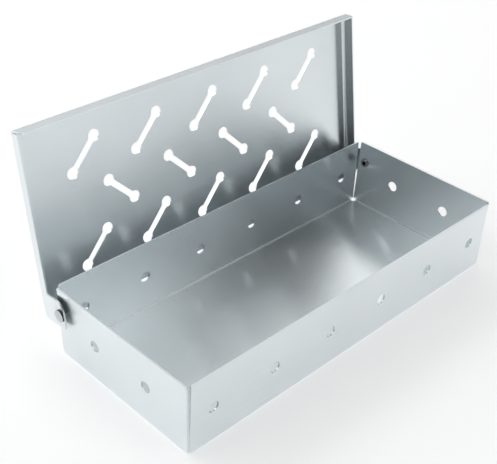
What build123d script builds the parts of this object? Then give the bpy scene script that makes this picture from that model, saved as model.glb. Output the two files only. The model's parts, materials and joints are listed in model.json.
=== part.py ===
from build123d import *
from math import cos, radians, sin, tan
import os

os.makedirs("parts", exist_ok=True)

# Smoker box for a grill: a shallow tray for wood chips, folded from one sheet,
# and a slotted lid, folded from another, which turns on two rivets.
# Millimetres, +X along the front wall, -Y to the front, +Z up,
# with the origin under the middle of the tray's base.

# Sheet and folds
SHEET = 0.8
TRAY_BEND_INSIDE_RADIUS = 0.6
LID_BEND_INSIDE_RADIUS = 2.0

# Tray
TRAY_LENGTH = 210.0
TRAY_WIDTH = 88.9
TRAY_HEIGHT = 38.9
END_WALL_LEAN_DEG = 1.8
REAR_WALL_LEAN_DEG = 1.0
LONG_WALL_END_GAP = 0.8
END_WALL_FIT = 0.1
RELIEF_DIAMETER = 3.0
LONG_WALL_CORNER_RADIUS = 0.8
END_WALL_FRONT_RADIUS = 1.5
END_WALL_REAR_RADIUS = 0.8

# Round vents in the tray's walls
VENT_DIAMETER = 5.7
LONG_VENT_COUNT = 6
LONG_VENT_PITCH = 36.6
LONG_VENT_HEIGHT = 20.0
END_VENT_PITCH = 34.9
END_VENT_HEIGHT = 21.0

# Hinge axis, along X
HINGE_HEIGHT = 27.0
HINGE_FROM_REAR = 5.6
LID_OPEN_DEG = 99.2
STOP_CLEARANCE = 0.05

# Lid, modelled level with its hinge axis through the origin
LID_CLEARANCE = 0.4
LID_FRONT_CLEARANCE = 1.0
PANEL_ABOVE_RIM = 3.7
FRONT_FLANGE = 9.15
FRONT_FLANGE_END_AT_BEND = 0.3
FRONT_FLANGE_END_AT_EDGE = 1.9
SIDE_FLANGE = 6.95
SIDE_FLANGE_LEAN_DEG = 3.0
LID_SEAM = 0.2
EAR_BELOW_HINGE = 3.1
EAR_TO_FRONT = 7.0
EAR_TO_REAR = 6.8
EAR_TOE_RADIUS = 5.0
EAR_HEEL_RADIUS = 1.4

# Dog-bone slots in the lid's panel
SLOT_WIDTH = 3.0
SLOT_END_DIAMETER = 6.0
SLOT_PITCH = 36.6
SLOT_ROW_PITCH = 23.6
OUTER_SLOT_LENGTH = 19.7
MIDDLE_SLOT_LENGTH = 18.9
OUTER_SLOT_COUNT = 5
MIDDLE_SLOT_COUNT = 4
SLOT_ANGLE_DEG = 45.0

# Rivets
RIVET_DIAMETER = 3.0
RIVET_RUNNING_CLEARANCE = 0.05
RIVET_HEAD_DIAMETER = 6.1
RIVET_HEAD_EDGE = 0.7
RIVET_HEAD_DOME = 0.4
RIVET_HEAD_PLAY = 0.1
RIVET_RIM_DIAMETER = 4.8
RIVET_RIM_HEIGHT = 0.9
RIVET_RIM_BEVEL = 0.35
RIVET_RIM_CLEARANCE = 0.03
RIVET_BORE_DIAMETER = 2.1
RIVET_BORE_DEPTH = 2.4

# Places that follow from the sizes
tray_bend = TRAY_BEND_INSIDE_RADIUS + SHEET
lid_bend = LID_BEND_INSIDE_RADIUS + SHEET
end_turn = 90 - END_WALL_LEAN_DEG
rear_turn = 90 - REAR_WALL_LEAN_DEG
side_turn = 90 - SIDE_FLANGE_LEAN_DEG
end_slope = tan(radians(END_WALL_LEAN_DEG))
rear_slope = tan(radians(REAR_WALL_LEAN_DEG))
side_slope = tan(radians(SIDE_FLANGE_LEAN_DEG))
tray_top_length = TRAY_LENGTH + 2 * TRAY_HEIGHT * end_slope
hinge_y = TRAY_WIDTH / 2 - HINGE_FROM_REAR
lid_half_length = tray_top_length / 2 + LID_CLEARANCE + SHEET
lid_rear = HINGE_FROM_REAR + TRAY_HEIGHT * rear_slope + LID_CLEARANCE + SHEET
lid_front = TRAY_WIDTH - HINGE_FROM_REAR + LID_FRONT_CLEARANCE + SHEET
lid_seam = SHEET + LID_SEAM
panel_top = TRAY_HEIGHT - HINGE_HEIGHT + PANEL_ABOVE_RIM + SHEET


def setback(bend, turn):
    """Distance from a bend line to the sharp corner that the bend rounds off."""
    return bend * tan(radians(turn / 2))


# Bend lines, where the flat of the tray's base and of the lid's panel stops
base_end = TRAY_LENGTH / 2 - setback(tray_bend, end_turn)
base_front = TRAY_WIDTH / 2 - tray_bend
base_rear = TRAY_WIDTH / 2 - setback(tray_bend, rear_turn)
panel_half = lid_half_length - setback(lid_bend, side_turn)
panel_rear = lid_rear - lid_bend
panel_front = lid_front - lid_bend


def folded_edge(middle, outward, upright, reach, bend, turn, roots, ends):
    """Adds the bend along one edge of a flat sheet to the current part.

    The sheet's outer face passes through middle, and the sharp corner lies at
    reach from it. The bend starts between the two roots, measured each way
    from middle along the edge, and is mitred to stop between the two ends.
    Returns the plane of the folded wall's outer face, whose origin lies on
    the bend's end line, with local Y up the wall and local X along the edge.
    """
    along = upright.cross(outward)
    near, far = ends
    bend_line = reach - setback(bend, turn)
    section = Plane(middle - along * near, x_dir=outward, z_dir=-along)
    with BuildSketch(section, mode=Mode.PRIVATE) as bend_section:
        with BuildLine():
            curve = JernArc((bend_line, 0), (1, 0), bend, turn)
            offset(amount=SHEET, side=Side.LEFT)
        make_face()
    strip = extrude(bend_section.sketch, amount=-(near + far), mode=Mode.PRIVATE)
    with BuildSketch(Plane(middle, x_dir=along, z_dir=-upright), mode=Mode.PRIVATE) as plan:
        with BuildLine():
            Polyline(
                (-roots[0], bend_line),
                (-near, bend_line + bend - SHEET),
                (-near, bend_line + bend),
                (far, bend_line + bend),
                (far, bend_line + bend - SHEET),
                (roots[1], bend_line),
                close=True,
            )
        make_face()
    mitred = extrude(plan.sketch, amount=bend, both=True, mode=Mode.PRIVATE)
    add(strip & mitred)
    start = middle + outward * (curve @ 1).X + upright * (curve @ 1).Y
    normal = outward * sin(radians(turn)) - upright * cos(radians(turn))
    return Plane(start, x_dir=along, z_dir=normal)


# End wall of the tray, on the right
with BuildPart() as end_wall:
    end_half = TRAY_WIDTH / 2 - SHEET - END_WALL_FIT
    end_plane = folded_edge(
        Vector(0, 0, 0),
        Vector(1, 0, 0),
        Vector(0, 0, 1),
        TRAY_LENGTH / 2,
        tray_bend,
        end_turn,
        (base_front, base_rear),
        (end_half, end_half),
    )
    with BuildSketch(end_plane) as end_outline:
        wall_rise = (TRAY_HEIGHT - end_plane.origin.Z) / sin(radians(end_turn))
        Rectangle(2 * end_half, wall_rise, align=(Align.CENTER, Align.MIN))
        fillet(end_outline.vertices().group_by(Axis.Y)[-1].sort_by(Axis.X)[0], END_WALL_FRONT_RADIUS)
        fillet(end_outline.vertices().group_by(Axis.Y)[-1].sort_by(Axis.X)[-1], END_WALL_REAR_RADIUS)
    extrude(amount=-SHEET)
    with BuildSketch(Plane.YZ):
        with Locations((0, END_VENT_HEIGHT)):
            with GridLocations(END_VENT_PITCH, END_VENT_PITCH, 2, 1):
                Circle(VENT_DIAMETER / 2)
        with Locations((hinge_y, HINGE_HEIGHT)):
            Circle(RIVET_DIAMETER / 2 + RIVET_RUNNING_CLEARANCE)
    extrude(amount=tray_top_length, mode=Mode.SUBTRACT)

# Tray
with BuildPart() as tray:
    with BuildSketch(Plane.XY):
        with Locations((0, base_rear)):
            Rectangle(2 * base_end, base_front + base_rear, align=(Align.CENTER, Align.MAX))
    extrude(amount=SHEET)

    long_half = TRAY_LENGTH / 2 - LONG_WALL_END_GAP
    for outward, turn in ((Vector(0, -1, 0), 90), (Vector(0, 1, 0), rear_turn)):
        long_plane = folded_edge(
            Vector(0, 0, 0),
            outward,
            Vector(0, 0, 1),
            TRAY_WIDTH / 2,
            tray_bend,
            turn,
            (base_end, base_end),
            (long_half, long_half),
        )
        with BuildSketch(long_plane) as long_outline:
            wall_rise = (TRAY_HEIGHT - long_plane.origin.Z) / sin(radians(turn))
            Rectangle(2 * long_half, wall_rise, align=(Align.CENTER, Align.MIN))
            fillet(long_outline.vertices().group_by(Axis.Y)[-1], LONG_WALL_CORNER_RADIUS)
        extrude(amount=-SHEET)

    with BuildSketch(Plane.XZ):
        with Locations((0, LONG_VENT_HEIGHT)):
            with GridLocations(LONG_VENT_PITCH, LONG_VENT_PITCH, LONG_VENT_COUNT, 1):
                Circle(VENT_DIAMETER / 2)
    extrude(amount=TRAY_WIDTH, both=True, mode=Mode.SUBTRACT)

    add(end_wall.part)
    mirror(end_wall.part, about=Plane.YZ)

    # Round relief where two bend lines meet
    with BuildSketch(Plane.XY):
        with Locations((base_end, -base_front), (base_end, base_rear)):
            Circle(RELIEF_DIAMETER / 2)
        mirror(about=Plane.YZ)
    extrude(amount=tray_bend, mode=Mode.SUBTRACT)

# Side flange of the lid, on the right, with the ear that the rivet holds
with BuildPart() as lid_side:
    side_front = lid_front - lid_seam
    side_plane = folded_edge(
        Vector(0, 0, panel_top),
        Vector(1, 0, 0),
        Vector(0, 0, -1),
        lid_half_length,
        lid_bend,
        side_turn,
        (panel_rear, panel_front),
        (lid_rear - lid_seam, side_front),
    )
    with BuildSketch(side_plane) as side_outline:
        ear_drop = (side_plane.origin.Z + EAR_BELOW_HINGE) / sin(radians(side_turn))
        flange_drop = SIDE_FLANGE - setback(lid_bend, side_turn)
        with BuildLine():
            Polyline(
                (-EAR_TO_REAR, 0),
                (-EAR_TO_REAR, ear_drop),
                (EAR_TO_FRONT, ear_drop),
                (EAR_TO_FRONT, flange_drop),
                (side_front, flange_drop),
                (side_front, 0),
                close=True,
            )
        make_face()
        fillet(side_outline.vertices().group_by(Axis.Y)[-1].sort_by(Axis.X)[-1], EAR_TOE_RADIUS)
        fillet(side_outline.vertices().group_by(Axis.Y)[-1].sort_by(Axis.X)[0], EAR_HEEL_RADIUS)
    extrude(amount=-SHEET)
    with BuildSketch(Plane.YZ):
        Circle(RIVET_DIAMETER / 2 + RIVET_RUNNING_CLEARANCE)
    extrude(amount=tray_top_length, mode=Mode.SUBTRACT)

# Lid, level
with BuildPart() as level_lid:
    panel_plane = Plane((0, 0, panel_top))
    with BuildSketch(panel_plane):
        with Locations((0, panel_rear)):
            Rectangle(2 * panel_half, panel_rear + panel_front, align=(Align.CENTER, Align.MAX))
    extrude(amount=-SHEET)

    # Depth of the rear lip: its tip meets the tray's rear wall when the lid stands open
    open_cos = cos(radians(LID_OPEN_DEG))
    open_sin = sin(radians(LID_OPEN_DEG))
    wall_face = HINGE_FROM_REAR + HINGE_HEIGHT * rear_slope + STOP_CLEARANCE
    tip_height = (wall_face - lid_rear * (open_cos + rear_slope * open_sin)) / (open_sin - rear_slope * open_cos)
    rear_lip = panel_top - tip_height

    bend_half = lid_half_length - lid_seam
    front_half = lid_half_length - FRONT_FLANGE_END_AT_BEND
    front_tip_half = lid_half_length - FRONT_FLANGE_END_AT_EDGE
    for outward, reach, depth, start_half, tip_half in (
        (Vector(0, -1, 0), lid_front, FRONT_FLANGE, front_half, front_tip_half),
        (Vector(0, 1, 0), lid_rear, rear_lip, bend_half, bend_half),
    ):
        flange_plane = folded_edge(
            panel_plane.origin,
            outward,
            Vector(0, 0, -1),
            reach,
            lid_bend,
            90,
            (panel_half, panel_half),
            (bend_half, bend_half),
        )
        flat = depth - lid_bend
        with BuildSketch(flange_plane):
            with BuildLine():
                Polyline(
                    (-start_half, 0),
                    (start_half, 0),
                    (tip_half, flat),
                    (-tip_half, flat),
                    close=True,
                )
            make_face()
        extrude(amount=-SHEET)

    add(lid_side.part)
    mirror(lid_side.part, about=Plane.YZ)

    # Slots, five, four and five to a row, which lean in turn
    slot_rows = (
        (-SLOT_ROW_PITCH, OUTER_SLOT_COUNT, OUTER_SLOT_LENGTH, -SLOT_ANGLE_DEG),
        (0, MIDDLE_SLOT_COUNT, MIDDLE_SLOT_LENGTH, SLOT_ANGLE_DEG),
        (SLOT_ROW_PITCH, OUTER_SLOT_COUNT, OUTER_SLOT_LENGTH, -SLOT_ANGLE_DEG),
    )
    panel_middle = (lid_rear - lid_front) / 2
    with BuildSketch(panel_plane):
        for row_y, count, length, angle in slot_rows:
            with Locations((0, panel_middle + row_y)):
                with GridLocations(SLOT_PITCH, SLOT_PITCH, count, 1):
                    Rectangle(length, SLOT_WIDTH, rotation=angle)
                    with PolarLocations(length / 2, 2, start_angle=angle):
                        Circle(SLOT_END_DIAMETER / 2)
    extrude(amount=-SHEET, mode=Mode.SUBTRACT)

# Lid, standing open on its stop
with BuildPart() as lid:
    with Locations(Location((0, hinge_y, HINGE_HEIGHT), (-LID_OPEN_DEG, 0, 0))):
        add(level_lid.part)

# Right rivet: domed head outside the ear, tail set over inside the tray
with BuildPart() as rivet_right:
    shank = RIVET_DIAMETER / 2
    head = lid_half_length + (panel_top + RIVET_HEAD_DIAMETER / 2) * side_slope + RIVET_HEAD_PLAY
    rim_low = HINGE_HEIGHT - RIVET_RIM_DIAMETER / 2
    wall_inside = TRAY_LENGTH / 2 + rim_low * end_slope - SHEET / cos(radians(END_WALL_LEAN_DEG))
    seat = wall_inside - RIVET_RIM_CLEARANCE
    tail = seat - RIVET_RIM_HEIGHT
    rivet_axis = Axis((0, hinge_y, HINGE_HEIGHT), (1, 0, 0))
    with BuildSketch(Plane((0, hinge_y, HINGE_HEIGHT), x_dir=(1, 0, 0), z_dir=(0, -1, 0))) as rivet_half:
        with BuildLine():
            Polyline(
                (head + RIVET_HEAD_EDGE + RIVET_HEAD_DOME, 0),
                (tail + RIVET_BORE_DEPTH, 0),
                (tail + RIVET_BORE_DEPTH, RIVET_BORE_DIAMETER / 2),
                (tail, RIVET_BORE_DIAMETER / 2),
                (tail, RIVET_RIM_DIAMETER / 2),
                (seat, RIVET_RIM_DIAMETER / 2),
                (seat, shank),
                (head, shank),
                (head, RIVET_HEAD_DIAMETER / 2),
                (head + RIVET_HEAD_EDGE, RIVET_HEAD_DIAMETER / 2),
            )
            rise, half = RIVET_HEAD_DOME, RIVET_HEAD_DIAMETER / 2
            dome = (rise**2 + half**2) / (2 * rise)
            RadiusArc((head + RIVET_HEAD_EDGE, half), (head + RIVET_HEAD_EDGE + rise, 0), dome)
        make_face()
        chamfer(rivet_half.vertices().group_by(Axis.X)[0], length=RIVET_RIM_BEVEL)
    revolve(axis=rivet_axis)

# Left rivet
with BuildPart() as rivet_left:
    mirror(rivet_right.part, about=Plane.YZ)

tray.part.label = "tray"
export_step(tray.part, "parts/tray.step")
lid.part.label = "lid"
export_step(lid.part, "parts/lid.step")
rivet_left.part.label = "rivet_left"
export_step(rivet_left.part, "parts/rivet_left.step")
rivet_right.part.label = "rivet_right"
export_step(rivet_right.part, "parts/rivet_right.step")
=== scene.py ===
"""Looks of a grill smoker box: satin stainless steel sheet, two rivets and a plain studio.

Laid out as a Blender add-on and run as a script. Everything is in metres, in
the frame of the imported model: +X along the front wall, -Y to the front, +Z up.
"""

import json
import math

import bpy
from mathutils import Matrix, Vector


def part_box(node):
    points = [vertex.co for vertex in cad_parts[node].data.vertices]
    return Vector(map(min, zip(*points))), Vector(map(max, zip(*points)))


bl_info = {
    "name": "Grill Smoker Box Looks",
    "version": (1, 0, 0),
    "blender": (4, 5, 0),
    "location": "View3D > Sidebar > Smoker Box",
    "description": "Dresses the tray, the lid and the rivets in satin steel, and sets up the studio",
    "category": "Object",
}

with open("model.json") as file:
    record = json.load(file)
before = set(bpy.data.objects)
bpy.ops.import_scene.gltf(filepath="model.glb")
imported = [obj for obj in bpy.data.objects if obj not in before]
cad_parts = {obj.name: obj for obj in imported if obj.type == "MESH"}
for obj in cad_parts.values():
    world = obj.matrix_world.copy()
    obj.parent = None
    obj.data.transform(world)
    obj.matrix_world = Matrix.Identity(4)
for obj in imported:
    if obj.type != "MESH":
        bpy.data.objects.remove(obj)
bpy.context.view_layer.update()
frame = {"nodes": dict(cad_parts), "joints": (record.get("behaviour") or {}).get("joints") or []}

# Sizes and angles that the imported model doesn't give by itself
SHEET = 0.0008
END_WALL_LEAN = math.tan(math.radians(1.8))
LID_OPEN_ANGLE = math.radians(99.2)
CREASE_FROM_FRONT, CREASE_FROM_END = 0.00075, 0.0007
RIM_DEPTH = 0.000725
SIDE_FLANGE_X = 0.1
RIVET_DOME, RIVET_TAIL = 0.00049, 0.00246
RIVET_HEAD_EDGE = 0.00295

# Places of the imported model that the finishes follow
tray_low, tray_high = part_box("tray")
rivet_low, rivet_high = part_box("rivet_right")
_, HINGE_Y, HINGE_Z = frame["joints"][0]["pos_m"]
END_WALL_FOOT = tray_high.x - tray_high.z * END_WALL_LEAN
END_WALL_MIDDLE = END_WALL_FOOT - SHEET / 2
CREASE_X = END_WALL_FOOT - CREASE_FROM_END
CREASE_Y = -tray_low.y - CREASE_FROM_FRONT
TRAY_RIM_Z = tray_high.z - RIM_DEPTH
RIVET_HEAD_X = rivet_high.x - RIVET_DOME
RIVET_TAIL_X = rivet_low.x + RIVET_TAIL

# Distances up to which each painted highlight and painted shade is whole, and from which it is gone
CREASE_FADE = (0.0005, 0.0009)
RUB_FADE = (0.003, 0.0095)
BORE_FADE = (0.0011, 0.0014)

# Tones of the metal, of its painted shade and of its painted highlights
SHEET_TINTS = (0.93, 1.06)
RIVET_TINTS = (0.9, 1.05)
# Share of the colour that is left under the painted shade round the hinge and in the side flanges
DULL_SHARE = 0.3
# Painted highlight in the creases and on the rims: its colour and roughness
BRIGHT_COLOUR = (0.9, 0.957, 0.977, 1.0)
BRIGHT_ROUGHNESS = 0.4
# Painted shade on the rivets: its colour, and its share over the tail
GRIME_COLOUR = (0.05, 0.05, 0.055, 1.0)
TAIL_GRIME_SHARE = 0.35

# How far the roughness swings to each side of its mean
SHEET_SWING, RIVET_SWING = 0.01, 0.06

# Grain: lines to the metre across it and along it, and its share in the sheet's unevenness
GRAIN_ACROSS, GRAIN_ALONG = 3000.0, 60.0
GRAIN_SHARE = 0.45

# The whole range of a noise, and the stretch that it seldom leaves
NOISE_RANGE = (0.0, 1.0)
NOISE_STRETCH = (0.3, 0.7)

# A face looks along an axis when its direction has more of it than this
SQUARELY = 0.7

# Floor: half its side, and how far it lies under the box
FLOOR_HALF = 1.5
FLOOR_DROP = 0.00005

# Surround: sines of the elevations between which its sweep and its pale part fade out
SWEEP_FADE = (0.0, 0.12)
PALE_FADE = (0.12, 0.32)
SURROUND_COLOUR = (0.96, 0.98, 1.0, 1.0)

SOFTBOX_DISTANCE = 3.0
SOFTBOXES = (
    # name, azimuth from +X, elevation, width and height in degrees, brightness
    ("left", 161.0, 39.0, 50.0, 52.0, 0.98),
    ("front", -74.0, 43.0, 40.0, 48.0, 0.98),
    ("right_back", 50.0, 37.0, 60.0, 38.0, 1.05),
    ("back", 106.0, 38.0, 34.0, 30.0, 2.3),
    ("top", -10.0, 68.0, 36.0, 34.0, 0.6),
)

# Camera: focal length and picture's width in pixels, and sensor's width in millimetres
FOCAL_PIXELS, PICTURE_PIXELS = 974, 497
SENSOR_WIDTH = 36.0

# Settings


class SteelSettings(bpy.types.PropertyGroup):
    """Satin stainless sheet of the tray and the lid"""

    colour: bpy.props.FloatVectorProperty(
        name="Steel colour",
        description="Reflectance of the satin sheet",
        subtype="COLOR",
        size=3,
        min=0.0,
        max=1.0,
        default=(0.825, 0.877, 0.896),
    )
    sheen_spread: bpy.props.FloatProperty(
        name="Roughness",
        description="Mean roughness of the satin finish",
        subtype="FACTOR",
        min=0.0,
        max=1.0,
        default=0.25,
    )
    metal_share: bpy.props.FloatProperty(
        name="Metallic",
        description="Share of clean metal; the rest is the fine pale haze of the pickled surface",
        subtype="FACTOR",
        min=0.0,
        max=1.0,
        default=0.94,
    )
    grain_pull: bpy.props.FloatProperty(
        name="Anisotropy",
        description="How far reflections are drawn out across the rolled grain",
        subtype="FACTOR",
        min=0.0,
        max=1.0,
        default=0.9,
    )
    grain_depth: bpy.props.FloatProperty(
        name="Grain depth",
        description="Depth of the fine grain lines",
        subtype="DISTANCE",
        unit="LENGTH",
        default=0.0000006,
    )
    wave_depth: bpy.props.FloatProperty(
        name="Sheet wave",
        description="Depth of the slow unevenness of thin folded sheet",
        subtype="DISTANCE",
        unit="LENGTH",
        default=0.00008,
    )


class RivetSettings(bpy.types.PropertyGroup):
    """Rivets of the hinge"""

    colour: bpy.props.FloatVectorProperty(
        name="Rivet colour",
        description="Reflectance of the rivets",
        subtype="COLOR",
        size=3,
        min=0.0,
        max=1.0,
        default=(0.55, 0.57, 0.59),
    )
    sheen_spread: bpy.props.FloatProperty(
        name="Roughness",
        description="Mean roughness of the upset metal",
        subtype="FACTOR",
        min=0.0,
        max=1.0,
        default=0.24,
    )
    dent_depth: bpy.props.FloatProperty(
        name="Dents",
        description="Depth of the faint ripple that heading leaves",
        subtype="DISTANCE",
        unit="LENGTH",
        default=0.00003,
    )


class StudioSettings(bpy.types.PropertyGroup):
    """Floor, surround, lights and camera"""

    floor_colour: bpy.props.FloatVectorProperty(
        name="Floor colour",
        description="Pale floor",
        subtype="COLOR",
        size=3,
        min=0.0,
        max=1.0,
        default=(0.97, 0.97, 0.97),
    )
    floor_glow: bpy.props.FloatProperty(
        name="Floor glow",
        description="Light that comes through the pale floor, as on a lit table",
        min=0.0,
        default=0.35,
    )
    sky_strength: bpy.props.FloatProperty(
        name="Surround",
        description="Brightness of the dim studio surround",
        min=0.0,
        default=0.05,
    )
    horizon_strength: bpy.props.FloatProperty(
        name="Horizon",
        description="Brightness that the low part of the surround has over the rest",
        min=0.0,
        default=0.43,
    )
    softbox_strength: bpy.props.FloatProperty(
        name="Softboxes",
        description="Brightness of all the softboxes together",
        min=0.0,
        default=1.02,
    )
    eye: bpy.props.FloatVectorProperty(
        name="Camera place",
        description="Where the camera stands",
        subtype="TRANSLATION",
        unit="LENGTH",
        size=3,
        default=(-0.29706, -0.25626, 0.30412),
    )
    azimuth: bpy.props.FloatProperty(
        name="Azimuth",
        description="Direction the camera looks from, about the vertical",
        subtype="ANGLE",
        unit="ROTATION",
        default=math.radians(-46.199),
    )
    elevation: bpy.props.FloatProperty(
        name="Elevation",
        description="Camera's tilt above the horizon",
        subtype="ANGLE",
        unit="ROTATION",
        default=math.radians(33.663),
    )
    roll: bpy.props.FloatProperty(
        name="Roll",
        description="Camera's turn about its own view line",
        subtype="ANGLE",
        unit="ROTATION",
        default=math.radians(3.022),
    )
    lens: bpy.props.FloatProperty(
        name="Lens",
        description="Focal length in millimetres on a 36 mm wide sensor",
        min=1.0,
        default=FOCAL_PIXELS / PICTURE_PIXELS * SENSOR_WIDTH,
    )


# Nodes

# Rows of nodes in the editor: nodes to a row, and the steps across and down
ROW_LENGTH, STEP_ACROSS, STEP_DOWN = 12, 200, 350

# Where a Mix node has its first value and its result, for each kind of value
MIX_SOCKETS = {"FLOAT": (2, 0), "VECTOR": (4, 1), "RGBA": (6, 2)}


def fill(tree, socket, value):
    """Links a socket to another node's output, or else sets it to a plain value."""
    if isinstance(value, bpy.types.NodeSocket):
        tree.links.new(value, socket)
    else:
        socket.default_value = value


def node(tree, kind, **inputs):
    """Adds a shader node, in rows in the order of making, and fills its inputs by their names."""
    made = tree.nodes.new(kind)
    down, across = divmod(len(tree.nodes) - 1, ROW_LENGTH)
    made.location = (across * STEP_ACROSS, -down * STEP_DOWN)
    for name, value in inputs.items():
        fill(tree, made.inputs[name.replace("_", " ")], value)
    return made


def calc(tree, operation, *values):
    """Adds a Math node. Each value is a number or another node's output."""
    made = node(tree, "ShaderNodeMath")
    made.operation = operation
    for socket, value in zip(made.inputs, values):
        fill(tree, socket, value)
    return made.outputs[0]


def distance(tree, first, first_place, second, second_place):
    """Distance from a line: the square root of the squares of the two ways from it, added."""
    one = calc(tree, "SUBTRACT", first, first_place)
    two = calc(tree, "SUBTRACT", second, second_place)
    return calc(tree, "SQRT", calc(tree, "MULTIPLY_ADD", two, two, calc(tree, "MULTIPLY", one, one)))


def remap(tree, kind, value, start, end):
    """Carries a value from its start pair of numbers to an end pair, by a kind of interpolation."""
    low, high = start
    to_low, to_high = end
    made = node(tree, "ShaderNodeMapRange", From_Min=low, From_Max=high, To_Min=to_low, To_Max=to_high)
    made.interpolation_type = kind
    fill(tree, made.inputs["Value"], value)
    return made.outputs[0]


def fade(tree, value, span):
    """1 up to the start of a span, 0 from its end on, and smooth between."""
    return remap(tree, "SMOOTHSTEP", value, span, (1.0, 0.0))


def swing(tree, value, span, middle, reach):
    """A middle number that swings by its reach to each side, as a value goes over its span."""
    return remap(tree, "LINEAR", value, span, (middle - reach, middle + reach))


def blend(tree, kind, factor, first, second):
    """Adds a Mix node of a kind. Its factor and both values are each plain or another node's output."""
    made = node(tree, "ShaderNodeMix")
    made.data_type = kind
    start, result = MIX_SOCKETS[kind]
    sockets = (made.inputs[0], made.inputs[start], made.inputs[start + 1])
    for socket, value in zip(sockets, (factor, first, second)):
        fill(tree, socket, value)
    return made.outputs[result]


def noise(tree, point, **inputs):
    """Value of a noise at a point."""
    return node(tree, "ShaderNodeTexNoise", Vector=point, **inputs).outputs[0]


def tinted(tree, value, colour, shares):
    """A colour times the first share where a noise is low, and times the second where it is high."""
    ramp = node(tree, "ShaderNodeValToRGB", Fac=value)
    for stop, position, share in zip(ramp.color_ramp.elements, NOISE_STRETCH, shares):
        stop.position = position
        stop.color = (*(min(1.0, c * share) for c in colour), 1.0)
    return ramp.outputs[0]


def bump(tree, height, depth, **inputs):
    """Relief of a depth that follows a height."""
    return node(tree, "ShaderNodeBump", Strength=1.0, Distance=depth, Height=height, **inputs).outputs[0]


def split(tree, vector):
    """X, Y and Z of a vector."""
    return node(tree, "ShaderNodeSeparateXYZ", Vector=vector).outputs


def turned(tree, kind, vector, start, end):
    """A vector of a kind, turned from one space to another."""
    made = node(tree, "ShaderNodeVectorTransform", Vector=vector)
    made.vector_type = kind
    made.convert_from, made.convert_to = start, end
    return made.outputs[0]


def new_material(name):
    """New material, with its empty node tree and the object coordinates."""
    material = bpy.data.materials.new(name)
    material.use_nodes = True
    tree = material.node_tree
    tree.nodes.clear()
    return material, tree, node(tree, "ShaderNodeTexCoord").outputs["Object"]


def metal(tree, **inputs):
    """Ends a material's node tree in one shader with these inputs."""
    shader = node(tree, "ShaderNodeBsdfPrincipled", **inputs)
    node(tree, "ShaderNodeOutputMaterial", Surface=shader.outputs[0])


def dress(name, material):
    """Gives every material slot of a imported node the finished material."""
    slots = frame["nodes"][name].data.materials
    if not len(slots):
        slots.append(material)
    for i in range(len(slots)):
        slots[i] = material


# Painted shade and painted highlights


def from_hinge(tree, point):
    """Distance from the hinge's axis."""
    return distance(tree, point["Y"], HINGE_Y, point["Z"], HINGE_Z)


def in_crease(tree, point):
    """1 on the tray's inside creases and 0 away from them: burnished by the press, and lightened further as
    a painted highlight.
    """
    ways = []
    for axis, aside in (("Y", CREASE_Y), ("X", CREASE_X)):
        ways.append(distance(tree, calc(tree, "ABSOLUTE", point[axis]), aside, point["Z"], SHEET))
    return fade(tree, calc(tree, "MINIMUM", *ways), CREASE_FADE)


def on_rim(tree, point, facing, height):
    """1 on the sheared edges that look up over a height, and 0 elsewhere: sheared edges are rougher and
    paler, and this also paints the highlight that they catch from above.
    """
    looks_up = calc(tree, "GREATER_THAN", facing["Z"], SQUARELY)
    return calc(tree, "MULTIPLY", looks_up, calc(tree, "GREATER_THAN", point["Z"], height))


def rubbed(tree, point, share):
    """Painted shade: a share round the hinge, from the end walls outwards, in the narrow gap where the ears
    stand by the walls.
    """
    upright = calc(tree, "MULTIPLY_ADD", point["Z"], -END_WALL_LEAN, calc(tree, "ABSOLUTE", point["X"]))
    outside = calc(tree, "GREATER_THAN", upright, END_WALL_MIDDLE)
    near = fade(tree, from_hinge(tree, point), RUB_FADE)
    return calc(tree, "MULTIPLY", calc(tree, "MULTIPLY", near, outside), share)


def stained(tree, point, facing, share):
    """Painted shade: a share on the insides of the side flanges, which look to the middle from far out along
    X.
    """
    looks_out = calc(tree, "MULTIPLY", facing["X"], point["X"])
    return calc(tree, "MULTIPLY", calc(tree, "LESS_THAN", looks_out, -SIDE_FLANGE_X), share)


def grimed(tree, point):
    """Painted shade: 1 in a rivet's bore and on the edge of its head, a share over its tail, and 0 on its
    dome.
    """
    aside = calc(tree, "ABSOLUTE", point["X"])
    away = from_hinge(tree, point)
    on_tail = calc(tree, "LESS_THAN", aside, RIVET_TAIL_X)
    in_bore = calc(tree, "MULTIPLY", on_tail, fade(tree, away, BORE_FADE))
    under_dome = calc(tree, "LESS_THAN", aside, RIVET_HEAD_X)
    on_edge = calc(tree, "MULTIPLY", under_dome, calc(tree, "GREATER_THAN", away, RIVET_HEAD_EDGE))
    on_both = calc(tree, "MAXIMUM", in_bore, on_edge)
    return calc(tree, "MAXIMUM", on_both, calc(tree, "MULTIPLY", on_tail, TAIL_GRIME_SHARE))


# Materials


def grain_direction(tree, across, folded):
    """Vector along the sheet's rolled grain, turned into the world with the piece.

    The grain runs along X in the flat sheet. Where a wall is folded up so that
    it faces along X, the grain has turned up the wall, along the vector across.
    """
    return turned(tree, "VECTOR", blend(tree, "VECTOR", folded, (1.0, 0.0, 0.0), across), "OBJECT", "WORLD")


def grain_lines(tree, coordinates, folded):
    """Fine lines along the grain: along X, and up Z on the walls that are folded to face along X."""
    lines = []
    for along_x, along_z in ((GRAIN_ALONG, GRAIN_ACROSS), (GRAIN_ACROSS, GRAIN_ALONG)):
        drawn = node(tree, "ShaderNodeMapping", Vector=coordinates, Scale=(along_x, GRAIN_ACROSS, along_z))
        lines.append(noise(tree, drawn.outputs[0], Scale=1.0, Detail=2.0))
    return blend(tree, "FLOAT", folded, *lines)


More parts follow.
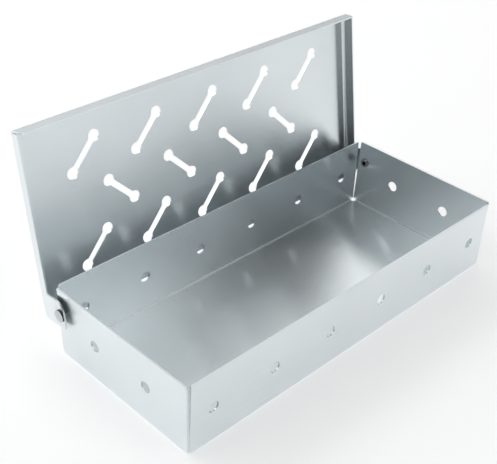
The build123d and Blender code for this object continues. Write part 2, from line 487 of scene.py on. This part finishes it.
def satin_sheet(name, across, settings, rub_share, stain_share=0.0, rim_height=None):
    """Satin stainless sheet: fine grain, a cloudy tone and a slow wave in the thin metal.

    The shares say how much painted shade darkens it round the hinge and in the side flanges.
    Edges that look up over the rim height are sheared bright, with a painted highlight.
    """
    material, tree, coordinates = new_material(name)
    point = split(tree, coordinates)
    shape = node(tree, "ShaderNodeNewGeometry")
    facing = split(tree, turned(tree, "NORMAL", shape.outputs["True Normal"], "WORLD", "OBJECT"))
    folded = calc(tree, "GREATER_THAN", calc(tree, "ABSOLUTE", facing["X"]), SQUARELY)

    # Unevenness of the sheet: slow clouds and fine lines along the grain
    cloud = noise(tree, coordinates, Scale=28.0, Detail=4.0, Roughness=0.55)
    lines = grain_lines(tree, coordinates, folded)
    uneven = blend(tree, "FLOAT", GRAIN_SHARE, cloud, lines)

    # Painted shade round the hinge and in the side flanges, painted highlights in the creases and on the
    # rims
    dulled = calc(tree, "MAXIMUM", rubbed(tree, point, rub_share), stained(tree, point, facing, stain_share))
    bright = in_crease(tree, point)
    if rim_height is not None:
        bright = calc(tree, "MAXIMUM", bright, on_rim(tree, point, facing, rim_height))

    # Finish: its tone and roughness, and the grain lines over the slow wave of thin sheet
    clean = tinted(tree, uneven, settings.colour, SHEET_TINTS)
    # Painted shade: the colour darkened to a share of itself round the hinge and in the side flanges
    worn = blend(tree, "RGBA", dulled, clean, (*(c * DULL_SHARE for c in settings.colour), 1.0))
    spread = swing(tree, uneven, NOISE_STRETCH, settings.sheen_spread, SHEET_SWING)
    wave = noise(tree, coordinates, Scale=11.0, Detail=1.0, Roughness=0.4)
    slow = bump(tree, wave, settings.wave_depth)
    metal(
        tree,
        # Painted highlight: the colour lightened in the creases and on the rims
        Base_Color=blend(tree, "RGBA", bright, worn, BRIGHT_COLOUR),
        Metallic=settings.metal_share,
        Roughness=blend(tree, "FLOAT", bright, spread, BRIGHT_ROUGHNESS),
        Normal=bump(tree, lines, settings.grain_depth, Normal=slow),
        Anisotropic=settings.grain_pull,
        # A quarter turn: reflections are drawn out across the grain
        Anisotropic_Rotation=0.25,
        Tangent=grain_direction(tree, across, folded),
    )
    return material


def upset_metal(name, settings):
    """Metal of the rivets, with the faint ripple that heading leaves and painted shade in the bore, on the
    head's edge and over the tail.
    """
    material, tree, coordinates = new_material(name)
    ripple = noise(tree, coordinates, Scale=900.0, Detail=3.0, Roughness=0.5)
    clean = tinted(tree, ripple, settings.colour, RIVET_TINTS)
    metal(
        tree,
        # Painted shade: dark in the bore, on the head's edge and over the tail
        Base_Color=blend(tree, "RGBA", grimed(tree, split(tree, coordinates)), clean, GRIME_COLOUR),
        Metallic=1.0,
        Roughness=swing(tree, ripple, NOISE_RANGE, settings.sheen_spread, RIVET_SWING),
        Normal=bump(tree, ripple, settings.dent_depth),
    )
    return material


# Studio


def lay_floor(studio):
    """Pale square floor just under the box, lit a little from below."""
    mesh = bpy.data.meshes.new("floor")
    corners = ((-1, -1), (1, -1), (1, 1), (-1, 1))
    points = [(x * FLOOR_HALF, y * FLOOR_HALF, -FLOOR_DROP) for x, y in corners]
    mesh.from_pydata(points, [], [(0, 1, 2, 3)])
    floor = bpy.data.objects.new("floor", mesh)
    bpy.context.scene.collection.objects.link(floor)
    paper = bpy.data.materials.new("floor_paper")
    paper.use_nodes = True
    base = paper.node_tree.nodes["Principled BSDF"]
    base.inputs["Base Color"].default_value = (*studio.floor_colour, 1.0)
    base.inputs["Roughness"].default_value = 0.9
    base.inputs["Emission Color"].default_value = (1.0, 1.0, 1.0, 1.0)
    base.inputs["Emission Strength"].default_value = studio.floor_glow
    mesh.materials.append(paper)


def softbox(name, azimuth, elevation, width, height, brightness):
    """Rectangular softbox that faces the object from a direction.

    Its sides are the distance times twice the tangent of half its angle, and
    its power is pi times its area times its brightness.
    """
    a, e = math.radians(azimuth), math.radians(elevation)
    place = Vector((math.cos(a) * math.cos(e), math.sin(a) * math.cos(e), math.sin(e))) * SOFTBOX_DISTANCE
    data = bpy.data.lights.new(name, "AREA")
    data.shape = "RECTANGLE"
    data.size = 2 * SOFTBOX_DISTANCE * math.tan(math.radians(width) / 2)
    data.size_y = 2 * SOFTBOX_DISTANCE * math.tan(math.radians(height) / 2)
    data.energy = math.pi * data.size * data.size_y * brightness
    lamp = bpy.data.objects.new(name, data)
    bpy.context.scene.collection.objects.link(lamp)
    lamp.location = place
    lamp.rotation_euler = (-place).to_track_quat("-Z", "Y").to_euler()


def paint_surround(studio):
    """A sweep: as bright as the floor under the horizon, to carry it on, pale above it and dim overhead."""
    world = bpy.data.worlds.new("surround")
    bpy.context.scene.world = world
    world.use_nodes = True
    tree = world.node_tree
    back = tree.nodes["Background"]
    height = split(tree, node(tree, "ShaderNodeTexCoord").outputs["Generated"])["Z"]
    pale = fade(tree, height, PALE_FADE)
    glow = calc(tree, "MULTIPLY_ADD", pale, studio.horizon_strength, studio.sky_strength)
    fill(tree, back.inputs["Color"], SURROUND_COLOUR)
    fill(tree, back.inputs["Strength"], calc(tree, "MAXIMUM", glow, fade(tree, height, SWEEP_FADE)))


def set_camera(studio):
    """Camera at its place, turned by its azimuth, elevation and roll."""
    data = bpy.data.cameras.new("camera")
    data.sensor_fit = "HORIZONTAL"
    data.sensor_width = SENSOR_WIDTH
    data.lens = studio.lens
    data.clip_start, data.clip_end = 0.01, 50.0
    camera = bpy.data.objects.new("camera", data)
    bpy.context.scene.collection.objects.link(camera)
    a, e, r = studio.azimuth, studio.elevation, studio.roll
    behind = Vector((math.sin(a) * math.cos(e), -math.cos(a) * math.cos(e), math.sin(e)))
    right = (-behind).cross(Vector((0.0, 0.0, 1.0))).normalized()
    up = right.cross(-behind)
    right_rolled = right * math.cos(r) + up * math.sin(r)
    up_rolled = up * math.cos(r) - right * math.sin(r)
    axes = Matrix((right_rolled, up_rolled, behind)).transposed()
    camera.matrix_world = Matrix.Translation(studio.eye) @ axes.to_4x4()
    bpy.context.scene.camera = camera


# Operators


class SMOKERBOX_OT_tray(bpy.types.Operator):
    """Finish the folded tray in satin steel"""

    bl_idname = "smokerbox.tray"
    bl_label = "Finish Tray"

    def execute(self, context):
        across = (0.0, 0.0, 1.0)
        steel = context.scene.smokerbox_steel
        # Painted shade round the hinge, and painted highlights on the rims
        dress("tray", satin_sheet("tray_satin", across, steel, rub_share=0.45, rim_height=TRAY_RIM_Z))
        return {"FINISHED"}


class SMOKERBOX_OT_lid(bpy.types.Operator):
    """Finish the slotted lid in satin steel"""

    bl_idname = "smokerbox.lid"
    bl_label = "Finish Lid"

    def execute(self, context):
        across = (0.0, math.sin(LID_OPEN_ANGLE), math.cos(LID_OPEN_ANGLE))
        steel = context.scene.smokerbox_steel
        # Painted shade round the hinge and in the side flanges
        dress("lid", satin_sheet("lid_satin", across, steel, rub_share=0.12, stain_share=0.75))
        return {"FINISHED"}


class SMOKERBOX_OT_rivets(bpy.types.Operator):
    """Finish both hinge rivets"""

    bl_idname = "smokerbox.rivets"
    bl_label = "Finish Rivets"

    def execute(self, context):
        material = upset_metal("rivet_metal", context.scene.smokerbox_rivet)
        for name in ("rivet_left", "rivet_right"):
            dress(name, material)
        return {"FINISHED"}


class SMOKERBOX_OT_studio(bpy.types.Operator):
    """Make the pale floor, the soft lights, the surround and the camera"""

    bl_idname = "smokerbox.studio"
    bl_label = "Set Up Studio"

    def execute(self, context):
        studio = context.scene.smokerbox_studio
        lay_floor(studio)
        for name, azimuth, elevation, width, height, brightness in SOFTBOXES:
            softbox(name, azimuth, elevation, width, height, brightness * studio.softbox_strength)
        paint_surround(studio)
        # Plain tones, so that the floor stays as pale as it is lit
        context.scene.view_settings.view_transform = "Standard"
        set_camera(studio)
        return {"FINISHED"}


class SMOKERBOX_PT_panel(bpy.types.Panel):
    """Settings and steps of the smoker box"""

    bl_idname = "SMOKERBOX_PT_panel"
    bl_label = "Smoker Box"
    bl_space_type = "VIEW_3D"
    bl_region_type = "UI"
    bl_category = "Smoker Box"

    def draw(self, context):
        layout = self.layout
        scene = context.scene
        for group in (scene.smokerbox_steel, scene.smokerbox_rivet, scene.smokerbox_studio):
            box = layout.box()
            for name in group.bl_rna.properties.keys():
                if name not in {"rna_type", "name"}:
                    box.prop(group, name)
        for step in STEPS:
            layout.operator(step.bl_idname)


STEPS = (SMOKERBOX_OT_tray, SMOKERBOX_OT_lid, SMOKERBOX_OT_rivets, SMOKERBOX_OT_studio)
CLASSES = (SteelSettings, RivetSettings, StudioSettings, *STEPS, SMOKERBOX_PT_panel)


def register():
    for kind in CLASSES:
        bpy.utils.register_class(kind)
    bpy.types.Scene.smokerbox_steel = bpy.props.PointerProperty(type=SteelSettings)
    bpy.types.Scene.smokerbox_rivet = bpy.props.PointerProperty(type=RivetSettings)
    bpy.types.Scene.smokerbox_studio = bpy.props.PointerProperty(type=StudioSettings)


def unregister():
    del bpy.types.Scene.smokerbox_studio
    del bpy.types.Scene.smokerbox_rivet
    del bpy.types.Scene.smokerbox_steel
    for kind in reversed(CLASSES):
        bpy.utils.unregister_class(kind)


def main():
    register()
    bpy.ops.smokerbox.tray()
    bpy.ops.smokerbox.lid()
    bpy.ops.smokerbox.rivets()
    bpy.ops.smokerbox.studio()


if __name__ == "__main__":
    main()
